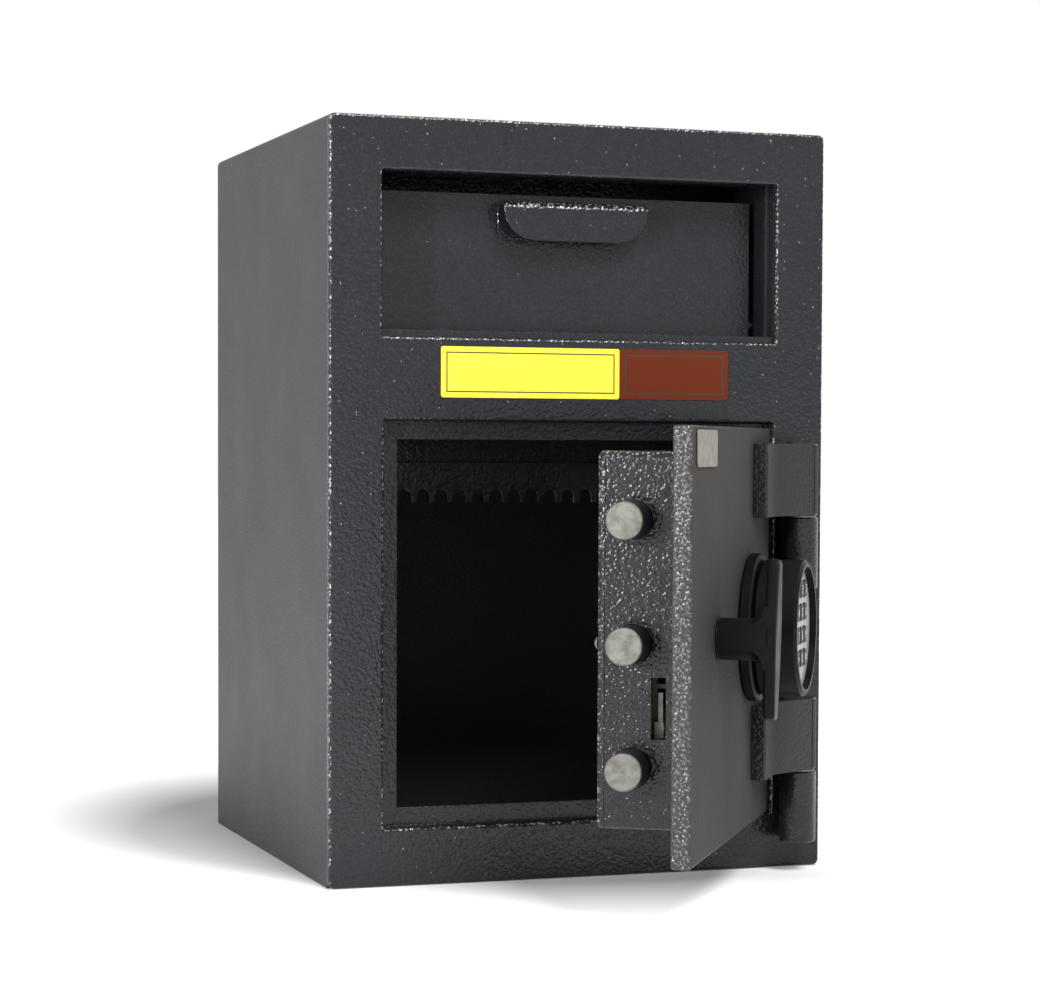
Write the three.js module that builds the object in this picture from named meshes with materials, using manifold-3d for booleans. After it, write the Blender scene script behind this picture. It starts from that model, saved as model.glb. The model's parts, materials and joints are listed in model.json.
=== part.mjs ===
// Floor safe with a tilt-out deposit hopper above a thick door that stands open. Millimetres, +Z up.
// X runs to the right as seen from the front, Y to the back, and Z = 0 is the floor under the base.
// Everything the door carries is laid out as if the door were shut, then swung open on its hinges.
import * as THREE from "three";
import { mergeVertices } from "three/addons/utils/BufferGeometryUtils.js";
import Module from "manifold-3d";

const wasm = await Module();
wasm.setup();

// Cabinet shell. The front is stacked from the sill under the doorway to the rim over the deposit opening.
const cabinetWidth = 354;
const cabinetDepth = 342;
const sillHeight = 38.5;
const doorwayHeight = 271;
const bandHeight = 55.5;
const depositHeight = 109;
const rimHeight = 36;
const doorwaySide = 37.5;
const depositSide = 36;
const sheet = 5;
const frontThickness = 6;
const cornerRound = 4;
const frontRound = 2.5;
const openingRound = 1.5;
const anchorRadius = 6;
const anchorInset = 58;

// Coloured plates between the openings
const labelThickness = 0.8;
const labelHeight = 34;
const labelDrop = 6;
const labelRound = 1.5;
const labelGap = 0.4;
const yellowInset = 40;
const yellowWidth = 126.2;
const brownWidth = 79.4;

// Frame the door shuts against, and the bar its bolts run behind
const stopSheet = 4;
const stopLip = 12.5;
const keeperWidth = 14.5;
const keeperOverhang = 27;

// Deck under the hopper, comb against fishing, and the baffle hung from the roof
const deckRise = 10.5;
const deckSheet = 4;
const deckSetBack = 7;
const chuteWallDrop = 50;
const combSheet = 3;
const combDrop = 38.5;
const combHeight = 29;
const combPitch = 13.5;
const combNotchWidth = 8.5;
const combNotchDepth = 9.5;
const baffleSheet = 2.5;
const baffleRise = 24;

// Sleeve behind the deposit opening: a flush collar, then side walls set in by a small step
const linerSheet = 3;
const linerStep = 1.4;
const linerFlange = 9;
const linerCollar = 8;
const linerSideReach = 61;
const linerTopReach = 18;
const linerSill = 4.5;
const linerSillReach = 20;

// Tilting hopper
const pivotSetBack = 43;
const pivotRise = 13;
const pivotRadius = 4;
const pivotHeadRadius = 6.5;
const pivotHead = 2;
const pivotTail = 1.2;
const hopperSideGap = 5.1;
const panelSheet = 3;
const panelSetBack = 33;
const panelFootGap = 3;
const panelTopGap = 10;
const traySheet = 2.5;
const trayFlange = 16;
const trayFoldDrop = 8;
const trayReach = 80;
const trayDeckGap = 8;
const cheekSheet = 2.5;
const cheekInset = 0.5;
const cheekTopGap = 0.3;
const cheekEndAngle = 40;
const footFrom = 15;
const footTo = 32;

// Bent pull on the hopper panel
const pullSheet = 2.6;
const pullWidth = 104;
const pullReach = 17;
const pullDrop = 5.5;
const pullFlangeHeight = 23;
const pullLipHeight = 26.7;
const pullBend = 5.5;
const pullLipRound = 22;
const pullFlangeRound = 4;

// Hinges, with the axis upright beside the doorway
const hingeSetOut = 12;
const hingeSetOff = 19;
const doorAngle = 57;
const barrelRadius = 12.6;
const barrelLength = 49.2;
const barrelRound = 1;
const hingeTopInset = 10.5;
const pinRadius = 5;
const pinBore = 34;
const washerThickness = 1;
const washerLip = 1.2;
const footWidth = 14;
const footInset = 2.5;
const strapThickness = 9.5;
const strapReach = 78.5;
const strapBend = 43.5;
const strapEndRound = 2;

// Door slab and what lies on its face
const slabGap = 2;
const slabTopGap = 3.5;
const slabThickness = 12;
const slabRound = 1.2;
const badgeInsetX = 11;
const badgeInsetZ = 2.5;
const badgeWidth = 63;
const badgeHeight = 22.5;
const badgeThickness = 1;
const badgeRound = 3;

// Sheet box behind the door for the bolt work
const boxInsetLeft = 45;
const boxInsetRight = 40;
const boxInsetBottom = 16.5;
const boxInsetTop = 15.5;
const boxDepth = 50.4;
const boxSheet = 2.5;
const boxRound = 5;
const coverDepth = 5;
const coverSheet = 2.5;
const coverRound = 3;
const sightHeight = 38;
const sightWidth = 9.3;
const sightSetBack = 12.4;
const sightRise = 1.5;
const screwHeadRadius = 4;
const screwHead = 2.4;
const screwRadius = 2;
const screwLength = 8;
const nutWidth = 10;
const nutHeight = 18;
const nutDepth = 16;

// Round bolts, the bar that guides them and the carriage that moves them
const boltRadius = 12;
const boltSetIn = 16.9;
const boltDrop = 1.5;
const boltProud = 24;
const boltLength = 59.2;
const boltChamfer = 1;
const boltPitch = 76;
const boltThrow = 20;
const tenonRadius = 5;
const tenonProud = 2.3;
const guideThickness = 7.7;
const guideOverhang = 13;
const guideNotchGap = 4.3;
const guideNotchDepth = 18.7;
const guideSightDepth = 25.2;
const carriageThickness = 7;
const carriageFrontDepth = 8.8;
const carriageBackDepth = 13.2;
const carriageOverhang = 11;
const tongueThickness = 5;
const tongueHeight = 28;
const tongueOverhang = 8;
const studRadius = 3;
const catchThickness = 3;
const catchWidth = 21;
const catchDepth = 8;
const catchReach = 10;
const catchRim = 5;

// Fixed bar that hooks behind the doorway on the hinge side
const deadThickness = 6;
const deadBoxGap = 1.5;
const deadEdgeInset = 3;
const deadHookGap = 6;
const deadHeight = 188;

// Lock case, its sliding pin, and the pin's guide
const lockDrop = 40;
const lockPlateHeight = 64;
const lockPlateThickness = 4.7;
const lockPlateLip = 10;
const lockCaseInset = 5;
const lockCaseWidth = 58;
const lockCaseDepth = 30.7;
const lockCaseGap = 12;
const lockCaseRound = 2;
const lockPinRise = 7;
const lockPinGap = 2;
const lockPinSetIn = 4;
const lockPinWidth = 4;
const lockPinDepth = 3;
const lugDrop = 21.2;
const lugHeight = 10;
const lugWidth = 8;
const lugFrontDepth = 2.4;
const lugBackDepth = 3.2;
const stemRadius = 1.5;
const stemLength = 11;
const guideBlockDrop = 7.3;
const guideBlockWidth = 10;

// Turning handle and the cam on its spindle
const spindleRadius = 5;
const shankRadius = 13.2;
const shankBore = 12;
const gripReach = 37.7;
const gripLength = 100;
const gripMiddleWidth = 21;
const gripEndWidth = 13;
const gripThickness = 8;
const gripFlare = 9;
const gripLeanAngle = 9;
const gripRound = 2;
const gripEndRound = 4;
const gripShoulder = 13;
const collarLip = 0.5;
const collarThickness = 1.2;
const camRadius = 38;
const camThickness = 6;
const camSetBack = 2.7;
const camStartRadius = 11;
const camHubGap = 0.65;
const camTongueGap = 4;

// Keypad on the door
const keypadInset = 72.5;
const keypadRadius = 45;
const keypadDepth = 29.4;
const keypadRound = 2;
const keypadBaseLip = 4;
const keypadBaseThickness = 8;
const keypadRim = 4.5;
const keypadLedge = 2.1;
const keypadFaceInset = 4.5;
const keypadFaceThickness = 2;
const keypadPocket = 3.7;
const keypadFloor = 3;
const keypadHollowRadius = 28;
const keypadStrapGap = 4.5;
const cableRadius = 6;
const keyPitchX = 14.5;
const keyWidth = 9;
const keyBridge = 4.2;
const keyEdgeGap = 0.8;
const keyFieldRise = 5.8;
const keyRound = 2;
const keyProud = 1.5;
const keyEdge = 0.6;
const keyFlangeLip = 0.8;
const keyFlangeThickness = 2;

// Clearances
const seatGap = 0.3;
const slideGap = 0.35;
const turnGap = 0.3;
const footGap = 0.5;
const slabHoleGap = 0.6;
const slabStopGap = 1;
const boltHoleGap = 1;
const boltKeeperGap = 1.3;
const baffleGap = 1.7;
const camWallGap = 2;
const studTipGap = 0.5;

// Facets of the rounds
const weldTolerance = 1e-4;
const barrelSides = 32;
const boltSides = 32;
const discSides = 48;
const smallSides = 20;
const roundSteps = 4;
const bevelSteps = 2;

// Cabinet levels and edges worked out from the sizes above
const halfWidth = cabinetWidth / 2;
const frontY = -cabinetDepth / 2;
const backY = cabinetDepth / 2;
const innerFrontY = frontY + frontThickness;
const insideX = halfWidth - sheet;
const doorwayX = halfWidth - doorwaySide;
const depositX = halfWidth - depositSide;
const doorwayTop = sillHeight + doorwayHeight;
const depositBottom = doorwayTop + bandHeight;
const depositTop = depositBottom + depositHeight;
const cabinetHeight = depositTop + rimHeight;
const insideTop = cabinetHeight - sheet;
const slabBackY = frontY + slabThickness;
const stopBackY = slabBackY + slabStopGap + stopSheet;

// Hopper and what is round it
const pivotY = frontY + pivotSetBack;
const pivotZ = depositBottom + pivotRise;
const linerStartY = innerFrontY + linerSheet;
const linerStepY = linerStartY + linerCollar;
const linerWallX = depositX - linerStep;
const panelX = linerWallX - hopperSideGap;
const panelFrontY = frontY + panelSetBack;
const panelBackY = panelFrontY + panelSheet;
const panelBottom = depositBottom + panelFootGap;
const panelTop = depositTop - panelTopGap;
const cheekOuterX = panelX - cheekInset;
const cheekInnerX = cheekOuterX - cheekSheet;
const cheekRadius = Math.hypot(panelTop - cheekTopGap - pivotZ, panelBackY - pivotY);
const trayX = cheekInnerX - seatGap;
const deckTop = doorwayTop + deckRise;
const deckBackY = pivotY + trayReach - deckSetBack;
const trayDrop = pivotZ - deckTop - trayDeckGap;
const baffleY = pivotY + Math.hypot(trayReach, trayDrop) + baffleGap;

// Door, laid out shut
const faceY = frontY - seatGap;
const behindY = slabBackY + seatGap;
const slabX = doorwayX - slabGap;
const slabBottom = sillHeight + slabTopGap;
const slabTop = doorwayTop - slabTopGap;
const handleZ = (slabBottom + slabTop) / 2;
const boxLeft = -slabX + boxInsetLeft;
const boxRight = slabX - boxInsetRight;
const boxBottom = slabBottom + boxInsetBottom;
const boxTop = slabTop - boxInsetTop;
const boxBackY = behindY + boxDepth;
const coverFrontY = boxBackY + seatGap;
const coverBackY = coverFrontY + coverDepth;
const coverInsideY = coverBackY - coverSheet;

// Bolt work, drawn back
const boltMiddleZ = handleZ - boltDrop;
const boltY = boxBackY - boltSetIn;
const boltTipX = boxLeft - boltProud;
const guideX = boxLeft + boxSheet + seatGap;
const screwLeftX = guideX + guideThickness / 2;
const screwRightX = boxRight - (screwLeftX - boxLeft);
const carriageX = boltTipX + boltLength + seatGap;
const carriageRight = carriageX + carriageThickness;
const carriageFrontY = boltY - carriageFrontDepth;
const carriageBackY = boltY + carriageBackDepth;
const handleX = boxLeft + boxSheet + camWallGap + camRadius;
const studX = handleX - camStartRadius;
const halfSlot = studRadius + slideGap;
const camFrontY = behindY + camSetBack;
const camBackY = camFrontY + camThickness;
const tongueFrontY = camBackY + camTongueGap;
const lockPlateTop = handleZ - lockDrop;
const lockPlateBottom = lockPlateTop - lockPlateHeight;
const lockPinTop = lockPlateTop + lockPinRise;
const catchBottom = lockPinTop + lockPinGap;
const catchRight = carriageRight + catchReach;
const lockPinX = catchRight - catchRim - boltThrow;
const lockPinY = carriageFrontY - lockPinSetIn;
const lugBottom = lockPlateTop - lugDrop;
const lugFrontY = lockPinY - lugFrontDepth;
const lugBackY = lockPinY + lugBackDepth;
const guideBlockBottom = lugBottom - guideBlockDrop;
const lockCaseLeft = carriageRight + lockCaseGap;
const sightBottom = lugBottom + sightRise;

// Handle, keypad and hinges
const gripFrontY = faceY - gripReach;
const gripBackY = gripFrontY + gripThickness;
const shankY = faceY - collarThickness - seatGap;
const keypadX = slabX - keypadInset;
const keypadBaseRadius = keypadRadius + keypadBaseLip;
const keypadMouthRadius = keypadRadius - keypadRim;
const keypadLedgeRadius = keypadMouthRadius - keypadLedge;
const keypadBaseFrontY = faceY - keypadBaseThickness;
const keypadBackY = keypadBaseFrontY - seatGap;
const keypadFrontY = keypadBackY - keypadDepth;
const keypadFaceY = keypadFrontY + keypadFaceInset;
const faceBackY = keypadFaceY + keypadFaceThickness;
const ledgeY = faceBackY + seatGap;
const pocketY = ledgeY + keypadPocket;
const hingeX = doorwayX + hingeSetOut;
const hingeY = frontY - hingeSetOff;
const hingePairHeight = 2 * barrelLength + washerThickness + turnGap;
const lowerBarrelBottom = handleZ - keypadBaseRadius - keypadStrapGap - hingePairHeight;
const upperBarrelBottom = slabTop - hingeTopInset - hingePairHeight;

// Colours
const paintColour = 0x45484d;
const doorColour = 0x55524b;
const darkColour = 0x2b2a29;
const steelColour = 0xb9b5ab;
const zincColour = 0x9a9a94;
const yellowColour = 0xf0dc3c;
const brownColour = 0x7c3a24;
const badgeColour = 0xa8a294;
const silverColour = 0xa9abad;
const rubberColour = 0x1c1c1d;

// Turns a drawing plane so that it is pushed along one axis: (Y, Z) along X, (X, Z) along Y, (X, Y) along Z.
const axisX = new THREE.Vector3(1, 0, 0);
const axisY = new THREE.Vector3(0, 1, 0);
const axisZ = new THREE.Vector3(0, 0, 1);
const planes = {
  x: new THREE.Matrix4().makeBasis(axisY, axisZ, axisX),
  y: new THREE.Matrix4().makeBasis(axisX, axisZ, axisY.clone().negate()),
  z: new THREE.Matrix4(),
};

function solidOf(geometry) {
  const bare = geometry.clone();
  bare.deleteAttribute("normal");
  bare.deleteAttribute("uv");
  const merged = mergeVertices(bare, weldTolerance);
  return new wasm.Manifold(
    new wasm.Mesh({
      numProp: 3,
      vertProperties: merged.attributes.position.array,
      triVerts: new Uint32Array(merged.index.array),
    }),
  );
}

function geometryOf(solid) {
  const mesh = solid.getMesh();
  const geometry = new THREE.BufferGeometry();
  geometry.setAttribute("position", new THREE.BufferAttribute(new Float32Array(mesh.vertProperties), 3));
  geometry.setIndex(new THREE.BufferAttribute(new Uint32Array(mesh.triVerts), 1));
  geometry.computeVertexNormals();
  return geometry;
}

// Outline through the corners [a, b, radius]; a radius rounds that corner.
function outline(corners, steps = roundSteps) {
  const count = corners.length;
  const points = [];
  corners.forEach(([a, b, radius], i) => {
    const here = new THREE.Vector2(a, b);
    if (!radius) {
      points.push(here);
      return;
    }
    const last = corners[(i + count - 1) % count];
    const next = corners[(i + 1) % count];
    const back = new THREE.Vector2(last[0], last[1]).sub(here).normalize();
    const ahead = new THREE.Vector2(next[0], next[1]).sub(here).normalize();
    const half = Math.acos(THREE.MathUtils.clamp(back.dot(ahead), -1, 1)) / 2;
    const middle = back.clone().add(ahead).normalize();
    const centre = here.clone().addScaledVector(middle, radius / Math.sin(half));
    const reach = radius / Math.tan(half);
    const from = here.clone().addScaledVector(back, reach).sub(centre).angle();
    const to = here.clone().addScaledVector(ahead, reach).sub(centre).angle();
    const turn = Math.atan2(Math.sin(to - from), Math.cos(to - from));
    for (let step = 0; step <= steps; step++) {
      const angle = from + (turn * step) / steps;
      points.push(new THREE.Vector2(Math.cos(angle), Math.sin(angle)).multiplyScalar(radius).add(centre));
    }
  });
  return points;
}

function rectangle(a0, a1, b0, b1, radius = 0) {
  return outline([
    [a0, b0, radius],
    [a1, b0, radius],
    [a1, b1, radius],
    [a0, b1, radius],
  ]);
}

function circle(a, b, radius, sides) {
  const points = [];
  for (let i = 0; i < sides; i++) {
    const angle = (2 * Math.PI * i) / sides;
    points.push(new THREE.Vector2(a + radius * Math.cos(angle), b + radius * Math.sin(angle)));
  }
  return points;
}

// A drawing pushed along an axis from one level to another, its edges rounded by round where asked.
function push(axis, points, from, to, { holes = [], round = 0, steps = bevelSteps } = {}) {
  const shape = new THREE.Shape(points);
  holes.forEach((hole) => shape.holes.push(new THREE.Path(hole)));
  const geometry = new THREE.ExtrudeGeometry(shape, {
    depth: to - from - 2 * round,
    bevelEnabled: round > 0,
    bevelThickness: round,
    bevelSize: round,
    bevelOffset: -round,
    bevelSegments: steps,
  });
  geometry.translate(0, 0, round + (axis === "y" ? -to : from));
  geometry.applyMatrix4(planes[axis]);
  return solidOf(geometry);
}

function block(x0, x1, y0, y1, z0, z1) {
  const geometry = new THREE.BoxGeometry(x1 - x0, y1 - y0, z1 - z0);
  geometry.translate((x0 + x1) / 2, (y0 + y1) / 2, (z0 + z1) / 2);
  return solidOf(geometry);
}

function rod(axis, a, b, radius, from, to, sides = smallSides, round = 0) {
  return push(axis, circle(a, b, radius, sides), from, to, { round, steps: 1 });
}

// Cabinet, all of it fixed
const cabinet = new THREE.Group();
const hopper = new THREE.Group();
const door = new THREE.Group();

function place(group, name, solid, color, metalness, roughness) {
  const material = new THREE.MeshStandardMaterial({ color, metalness, roughness });
  const mesh = new THREE.Mesh(geometryOf(solid), material);
  mesh.name = name;
  group.add(mesh);
}

const painted = (group, name, solid, color = paintColour) => place(group, name, solid, color, 0.1, 0.6);
const bare = (group, name, solid, color = steelColour) => place(group, name, solid, color, 0.9, 0.4);
const plastic = (group, name, solid, color = darkColour) => place(group, name, solid, color, 0, 0.5);

function shellSheet() {
  const outer = outline([
    [-halfWidth, 0],
    [halfWidth, 0],
    [halfWidth, cabinetHeight, cornerRound],
    [-halfWidth, cabinetHeight, cornerRound],
  ]);
  const hollow = block(-insideX, insideX, innerFrontY, backY, -sheet, insideTop);
  return push("y", outer, innerFrontY, backY).subtract(hollow);
}
painted(cabinet, "cabinet_wrap", shellSheet());

function basePlate() {
  let plate = block(-insideX, insideX, innerFrontY, backY - sheet, 0, sheet);
  const anchorX = halfWidth - anchorInset;
  const anchorY = backY - anchorInset;
  for (const x of [-anchorX, anchorX]) {
    for (const y of [-anchorY, anchorY]) {
      plate = plate.subtract(rod("z", x, y, anchorRadius, -sheet, 2 * sheet));
    }
  }
  return plate;
}
painted(cabinet, "base_plate", basePlate());
painted(cabinet, "back_plate", block(-insideX, insideX, backY - sheet, backY, 0, insideTop));

function frontPlate() {
  const outer = outline([
    [-halfWidth, 0, cornerRound],
    [halfWidth, 0, cornerRound],
    [halfWidth, cabinetHeight, cornerRound],
    [-halfWidth, cabinetHeight, cornerRound],
  ]);
  const holes = [
    rectangle(-depositX, depositX, depositBottom, depositTop, openingRound),
    rectangle(-doorwayX, doorwayX, sillHeight, doorwayTop, openingRound),
  ];
  const rounded = push("y", outer, frontY, innerFrontY + 2 * frontRound, { holes, round: frontRound });
  const front = block(-cabinetWidth, cabinetWidth, frontY - sheet, innerFrontY, -sheet, cabinetHeight + sheet);
  return rounded.intersect(front);
}
painted(cabinet, "front_plate", frontPlate());

function stopFrame() {
  const outerX = doorwayX + stopSheet;
  const outerBottom = sillHeight - stopSheet;
  const outerTop = doorwayTop + stopSheet;
  const lipX = doorwayX - stopLip;
  const ring = block(-outerX, outerX, innerFrontY, stopBackY, outerBottom, outerTop);
  const jamb = block(-doorwayX, doorwayX, frontY, stopBackY - stopSheet, sillHeight, doorwayTop);
  const mouth = block(-lipX, lipX, frontY, backY, sillHeight + stopLip, doorwayTop - stopLip);
  return ring.subtract(jamb).subtract(mouth);
}
painted(cabinet, "stop_frame", stopFrame());

function boltKeeper() {
  const left = -doorwayX - stopSheet;
  const keeperBackY = boltY - boltRadius - boltKeeperGap;
  const half = boltPitch + boltRadius + keeperOverhang;
  return block(left, left + keeperWidth, stopBackY, keeperBackY, boltMiddleZ - half, boltMiddleZ + half);
}
painted(cabinet, "bolt_keeper", boltKeeper());

function headDeck() {
  const wallBottom = deckTop - chuteWallDrop;
  const profile = outline([
    [innerFrontY, deckTop - deckSheet],
    [deckBackY - deckSheet, deckTop - deckSheet],
    [deckBackY - deckSheet, wallBottom],
    [deckBackY, wallBottom],
    [deckBackY, deckTop, deckSheet],
    [innerFrontY, deckTop],
  ]);
  return push("x", profile, -insideX, insideX);
}
painted(cabinet, "head_deck", headDeck());

// Teeth hang in front of the chute wall so that nothing can be drawn back up past it.
function combPlate() {
  const back = deckBackY - deckSheet;
  const top = deckTop - combDrop;
  const tip = top - combHeight;
  const notchTop = tip + combNotchDepth;
  const half = combNotchWidth / 2;
  let plate = block(-insideX, insideX, back - combSheet, back, tip, top);
  const count = Math.floor((2 * insideX) / combPitch / 2);
  for (let i = -count; i <= count; i++) {
    const x = i * combPitch;
    if (Math.abs(x) + combPitch > insideX + half) continue;
    const notch = outline(
      [
        [x - half, tip - half],
        [x + half, tip - half],
        [x + half, notchTop, half - weldTolerance],
        [x - half, notchTop, half - weldTolerance],
      ],
      bevelSteps,
    );
    plate = plate.subtract(push("y", notch, back - 2 * combSheet, back + combSheet));
  }
  return plate;
}
painted(cabinet, "anti_fish_comb", combPlate());
painted(
  cabinet,
  "roof_baffle",
  block(-insideX, insideX, baffleY, baffleY + baffleSheet, pivotZ + baffleRise, insideTop),
);

function throatLiner() {
  const flangeX = depositX + linerFlange;
  const flangeBottom = depositBottom - linerFlange;
  const sillTop = depositBottom + linerSill;
  const top = depositTop + linerSheet;
  const outerX = linerWallX + linerSheet;
  const mouth = block(-depositX, depositX, frontY, linerStartY, sillTop, depositTop);
  let liner = block(-flangeX, flangeX, innerFrontY, linerStartY, flangeBottom, depositTop + linerFlange);
  liner = liner.subtract(mouth);
  for (const side of [-1, 1]) {
    const wall = (near, far, from, to) =>
      block(Math.min(side * near, side * far), Math.max(side * near, side * far), from, to, deckTop, top);
    liner = liner
      .add(wall(depositX, depositX + linerSheet, innerFrontY, linerStepY + linerSheet))
      .add(wall(linerWallX, outerX, linerStepY, linerStartY + linerSideReach));
    const middle = side * (linerWallX + linerSheet / 2);
    liner = liner.subtract(
      rod("x", pivotY, pivotZ, pivotRadius + turnGap, middle - 2 * linerSheet, middle + 2 * linerSheet),
    );
  }
  const roof = block(-outerX, outerX, innerFrontY, linerStartY + linerTopReach, depositTop, top);
  const sill = block(-outerX, outerX, innerFrontY, linerStartY + linerSillReach, sillTop - linerSheet, sillTop);
  return liner.add(roof).add(sill);
}
painted(cabinet, "throat_liner", throatLiner());

function hopperPin(side) {
  const wallX = linerWallX + linerSheet;
  const tip = cheekInnerX - pivotTail;
  const span = (a, b, radius) =>
    rod("x", pivotY, pivotZ, radius, Math.min(side * a, side * b), Math.max(side * a, side * b));
  return span(tip, wallX + pivotHead, pivotRadius).add(span(wallX, wallX + pivotHead, pivotHeadRadius));
}
bare(cabinet, "hopper_pin_left", hopperPin(-1));
bare(cabinet, "hopper_pin_right", hopperPin(1));

function labelPlate(left, width) {
  const top = depositBottom - labelDrop;
  const points = rectangle(left, left + width, top - labelHeight, top, labelRound);
  return push("y", points, frontY - labelThickness, frontY);
}
const yellowLeft = -depositX + yellowInset;
plastic(cabinet, "yellow_plate", labelPlate(yellowLeft, yellowWidth), yellowColour);
plastic(cabinet, "brown_plate", labelPlate(yellowLeft + yellowWidth + labelGap, brownWidth), brownColour);

// Hinges: a fixed barrel on a foot below, the strap's barrel above, one pin through both
function fixedKnuckle(bottom) {
  const top = bottom + barrelLength;
  const barrel = rod("z", hingeX, hingeY, barrelRadius, bottom, top, barrelSides, barrelRound);
  const left = hingeX - footInset;
  const foot = block(left, left + footWidth, hingeY, frontY, bottom, top);
  const bore = rod("z", hingeX, hingeY, pinRadius + turnGap, top - pinBore, top + sheet);
  return barrel.add(foot).subtract(bore);
}

function hingeWasher(bottom) {
  const top = bottom + barrelLength;
  const holes = [circle(hingeX, hingeY, pinRadius + turnGap, smallSides)];
  const points = circle(hingeX, hingeY, barrelRadius - washerLip, barrelSides);
  return push("z", points, top, top + washerThickness, { holes });
}

function hingePin(bottom) {
  const top = bottom + barrelLength;
  const reach = washerThickness + pinBore;
  return rod("z", hingeX, hingeY, pinRadius, top - pinBore, top + reach - turnGap);
}

// The strap lies on the slab, bends outward and runs tangent onto the outer side of its barrel.
function hingeStrap(bottom) {
  const low = bottom + barrelLength + washerThickness + turnGap;
  const high = low + barrelLength;
  const outerY = faceY - strapThickness;
  const strapEndX = hingeX - strapReach;
  const strapBendX = hingeX - strapBend;
  const toAxis = new THREE.Vector2(strapBend, hingeY - outerY);
  const lean = toAxis.angle() - Math.asin(barrelRadius / toAxis.length());
  const along = new THREE.Vector2(Math.cos(lean), Math.sin(lean));
  const inward = new THREE.Vector2(-along.y, along.x);
  const run = Math.sqrt(toAxis.lengthSq() - barrelRadius ** 2);
  const bendTurn = 2 * Math.PI - lean;
  const outerBend = new THREE.Vector2(strapBendX, outerY);
  const innerBend = new THREE.Vector2(strapBendX + strapThickness * Math.tan(bendTurn / 2), faceY);
  const outerEnd = outerBend.clone().addScaledVector(along, run);
  const innerEnd = outerEnd.clone().addScaledVector(inward, strapThickness);
  const profile = outline([
    [strapEndX, faceY],
    [strapEndX, outerY, strapEndRound],
    [outerBend.x, outerBend.y],
    [outerEnd.x, outerEnd.y],
    [innerEnd.x, innerEnd.y],
    [innerBend.x, innerBend.y],
  ]);
  const barrel = rod("z", hingeX, hingeY, barrelRadius, low, high, barrelSides, barrelRound);
  const bore = rod("z", hingeX, hingeY, pinRadius + turnGap, low - sheet, low + pinBore);
  return push("z", profile, low, high).add(barrel).subtract(bore);
}

for (const [where, bottom] of [
  ["lower", lowerBarrelBottom],
  ["upper", upperBarrelBottom],
]) {
  painted(cabinet, `knuckle_fixed_${where}`, fixedKnuckle(bottom));
  bare(cabinet, `hinge_pin_${where}`, hingePin(bottom));
  bare(cabinet, `hinge_washer_${where}`, hingeWasher(bottom), zincColour);
  painted(door, `hinge_strap_${where}`, hingeStrap(bottom), doorColour);
}

// Hopper: panel, sloping tray and two cheeks that turn together on the side pins
painted(
  hopper,
  "hopper_panel",
  block(-panelX, panelX, panelFrontY, panelBackY, panelBottom, panelTop),
);

function trayPlate() {
  const slope = new THREE.Vector2(pivotY + trayReach - panelBackY, trayFoldDrop - trayDrop).normalize();
  const down = new THREE.Vector2(slope.y, -slope.x);
  const foldZ = pivotZ - trayFoldDrop;
  const end = new THREE.Vector2(pivotY + trayReach, pivotZ - trayDrop);
  const under = end.clone().addScaledVector(down, traySheet);
  const inner = panelBackY + traySheet;
  const rise = (traySheet * slope.y) / slope.x;
  const underFoldZ = foldZ - traySheet / slope.x;
  const profile = outline([
    [panelBackY, foldZ + trayFlange],
    [panelBackY, underFoldZ],
    [under.x, under.y],
    [end.x, end.y],
    [inner, foldZ + rise],
    [inner, foldZ + trayFlange],
  ]);
  return push("x", profile, -trayX, trayX);
}
painted(hopper, "hopper_tray", trayPlate());

function cheekPlate(side) {
  const front = panelBackY - pivotY;
  const startAngle = Math.acos(front / cheekRadius);
  const endAngle = THREE.MathUtils.degToRad(cheekEndAngle);
  const foldZ = -trayFoldDrop;
  const footZ = deckTop + footGap - pivotZ;
  const corners = [[front, foldZ - traySheet]];
  const slope = (trayFoldDrop - trayDrop) / (trayReach - front);
  const trayZ = (reach) => foldZ - traySheet + slope * (reach - front);
  corners.push([footFrom, trayZ(footFrom)]);
  corners.push([footFrom, footZ]);
  corners.push([footTo, footZ]);
  corners.push([footTo, trayZ(footTo)]);
  corners.push([trayReach - traySheet, trayZ(trayReach - traySheet)]);
  const arcSteps = 2 * roundSteps;
  for (let step = 0; step <= arcSteps; step++) {
    const angle = endAngle + ((startAngle - endAngle) * step) / arcSteps;
    corners.push([cheekRadius * Math.cos(angle), cheekRadius * Math.sin(angle)]);
  }
  const moved = corners.map(([y, z]) => [pivotY + y, pivotZ + z]);
  const near = side > 0 ? cheekInnerX : -cheekOuterX;
  const holes = [circle(pivotY, pivotZ, pivotRadius + turnGap, smallSides)];
  return push("x", outline(moved), near, near + cheekSheet, { holes });
}
painted(hopper, "hopper_cheek_left", cheekPlate(-1));
painted(hopper, "hopper_cheek_right", cheekPlate(1));

function pullHandle() {
  const half = pullWidth / 2;
  const pullTop = panelTop - pullDrop;
  const frontOfPull = panelFrontY - pullReach;
  const innerBend = pullBend - pullSheet;
  const flangeZ = pullTop - pullFlangeHeight;
  const lipZ = pullTop - pullLipHeight;
  const hook = outline([
    [panelFrontY, flangeZ],
    [panelFrontY, pullTop, pullBend],
    [frontOfPull, pullTop, pullBend],
    [frontOfPull, lipZ],
    [frontOfPull + pullSheet, lipZ],
    [frontOfPull + pullSheet, pullTop - pullSheet, innerBend],
    [panelFrontY - pullSheet, pullTop - pullSheet, innerBend],
    [panelFrontY - pullSheet, flangeZ],
  ]);
  const cutOut = (bottom, radius, from, to) => {
    const edge = outline([
      [-half, bottom, radius],
      [half, bottom, radius],
      [half, pullTop],
      [-half, pullTop],
    ]);
    return push("y", edge, from, to);
  };
  const split = panelFrontY - pullReach / 2;
  const lip = cutOut(lipZ, pullLipRound, frontOfPull, split);
  const flange = cutOut(flangeZ, pullFlangeRound, split, panelFrontY);
  return push("x", hook, -half, half).intersect(lip.add(flange));
}
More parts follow.
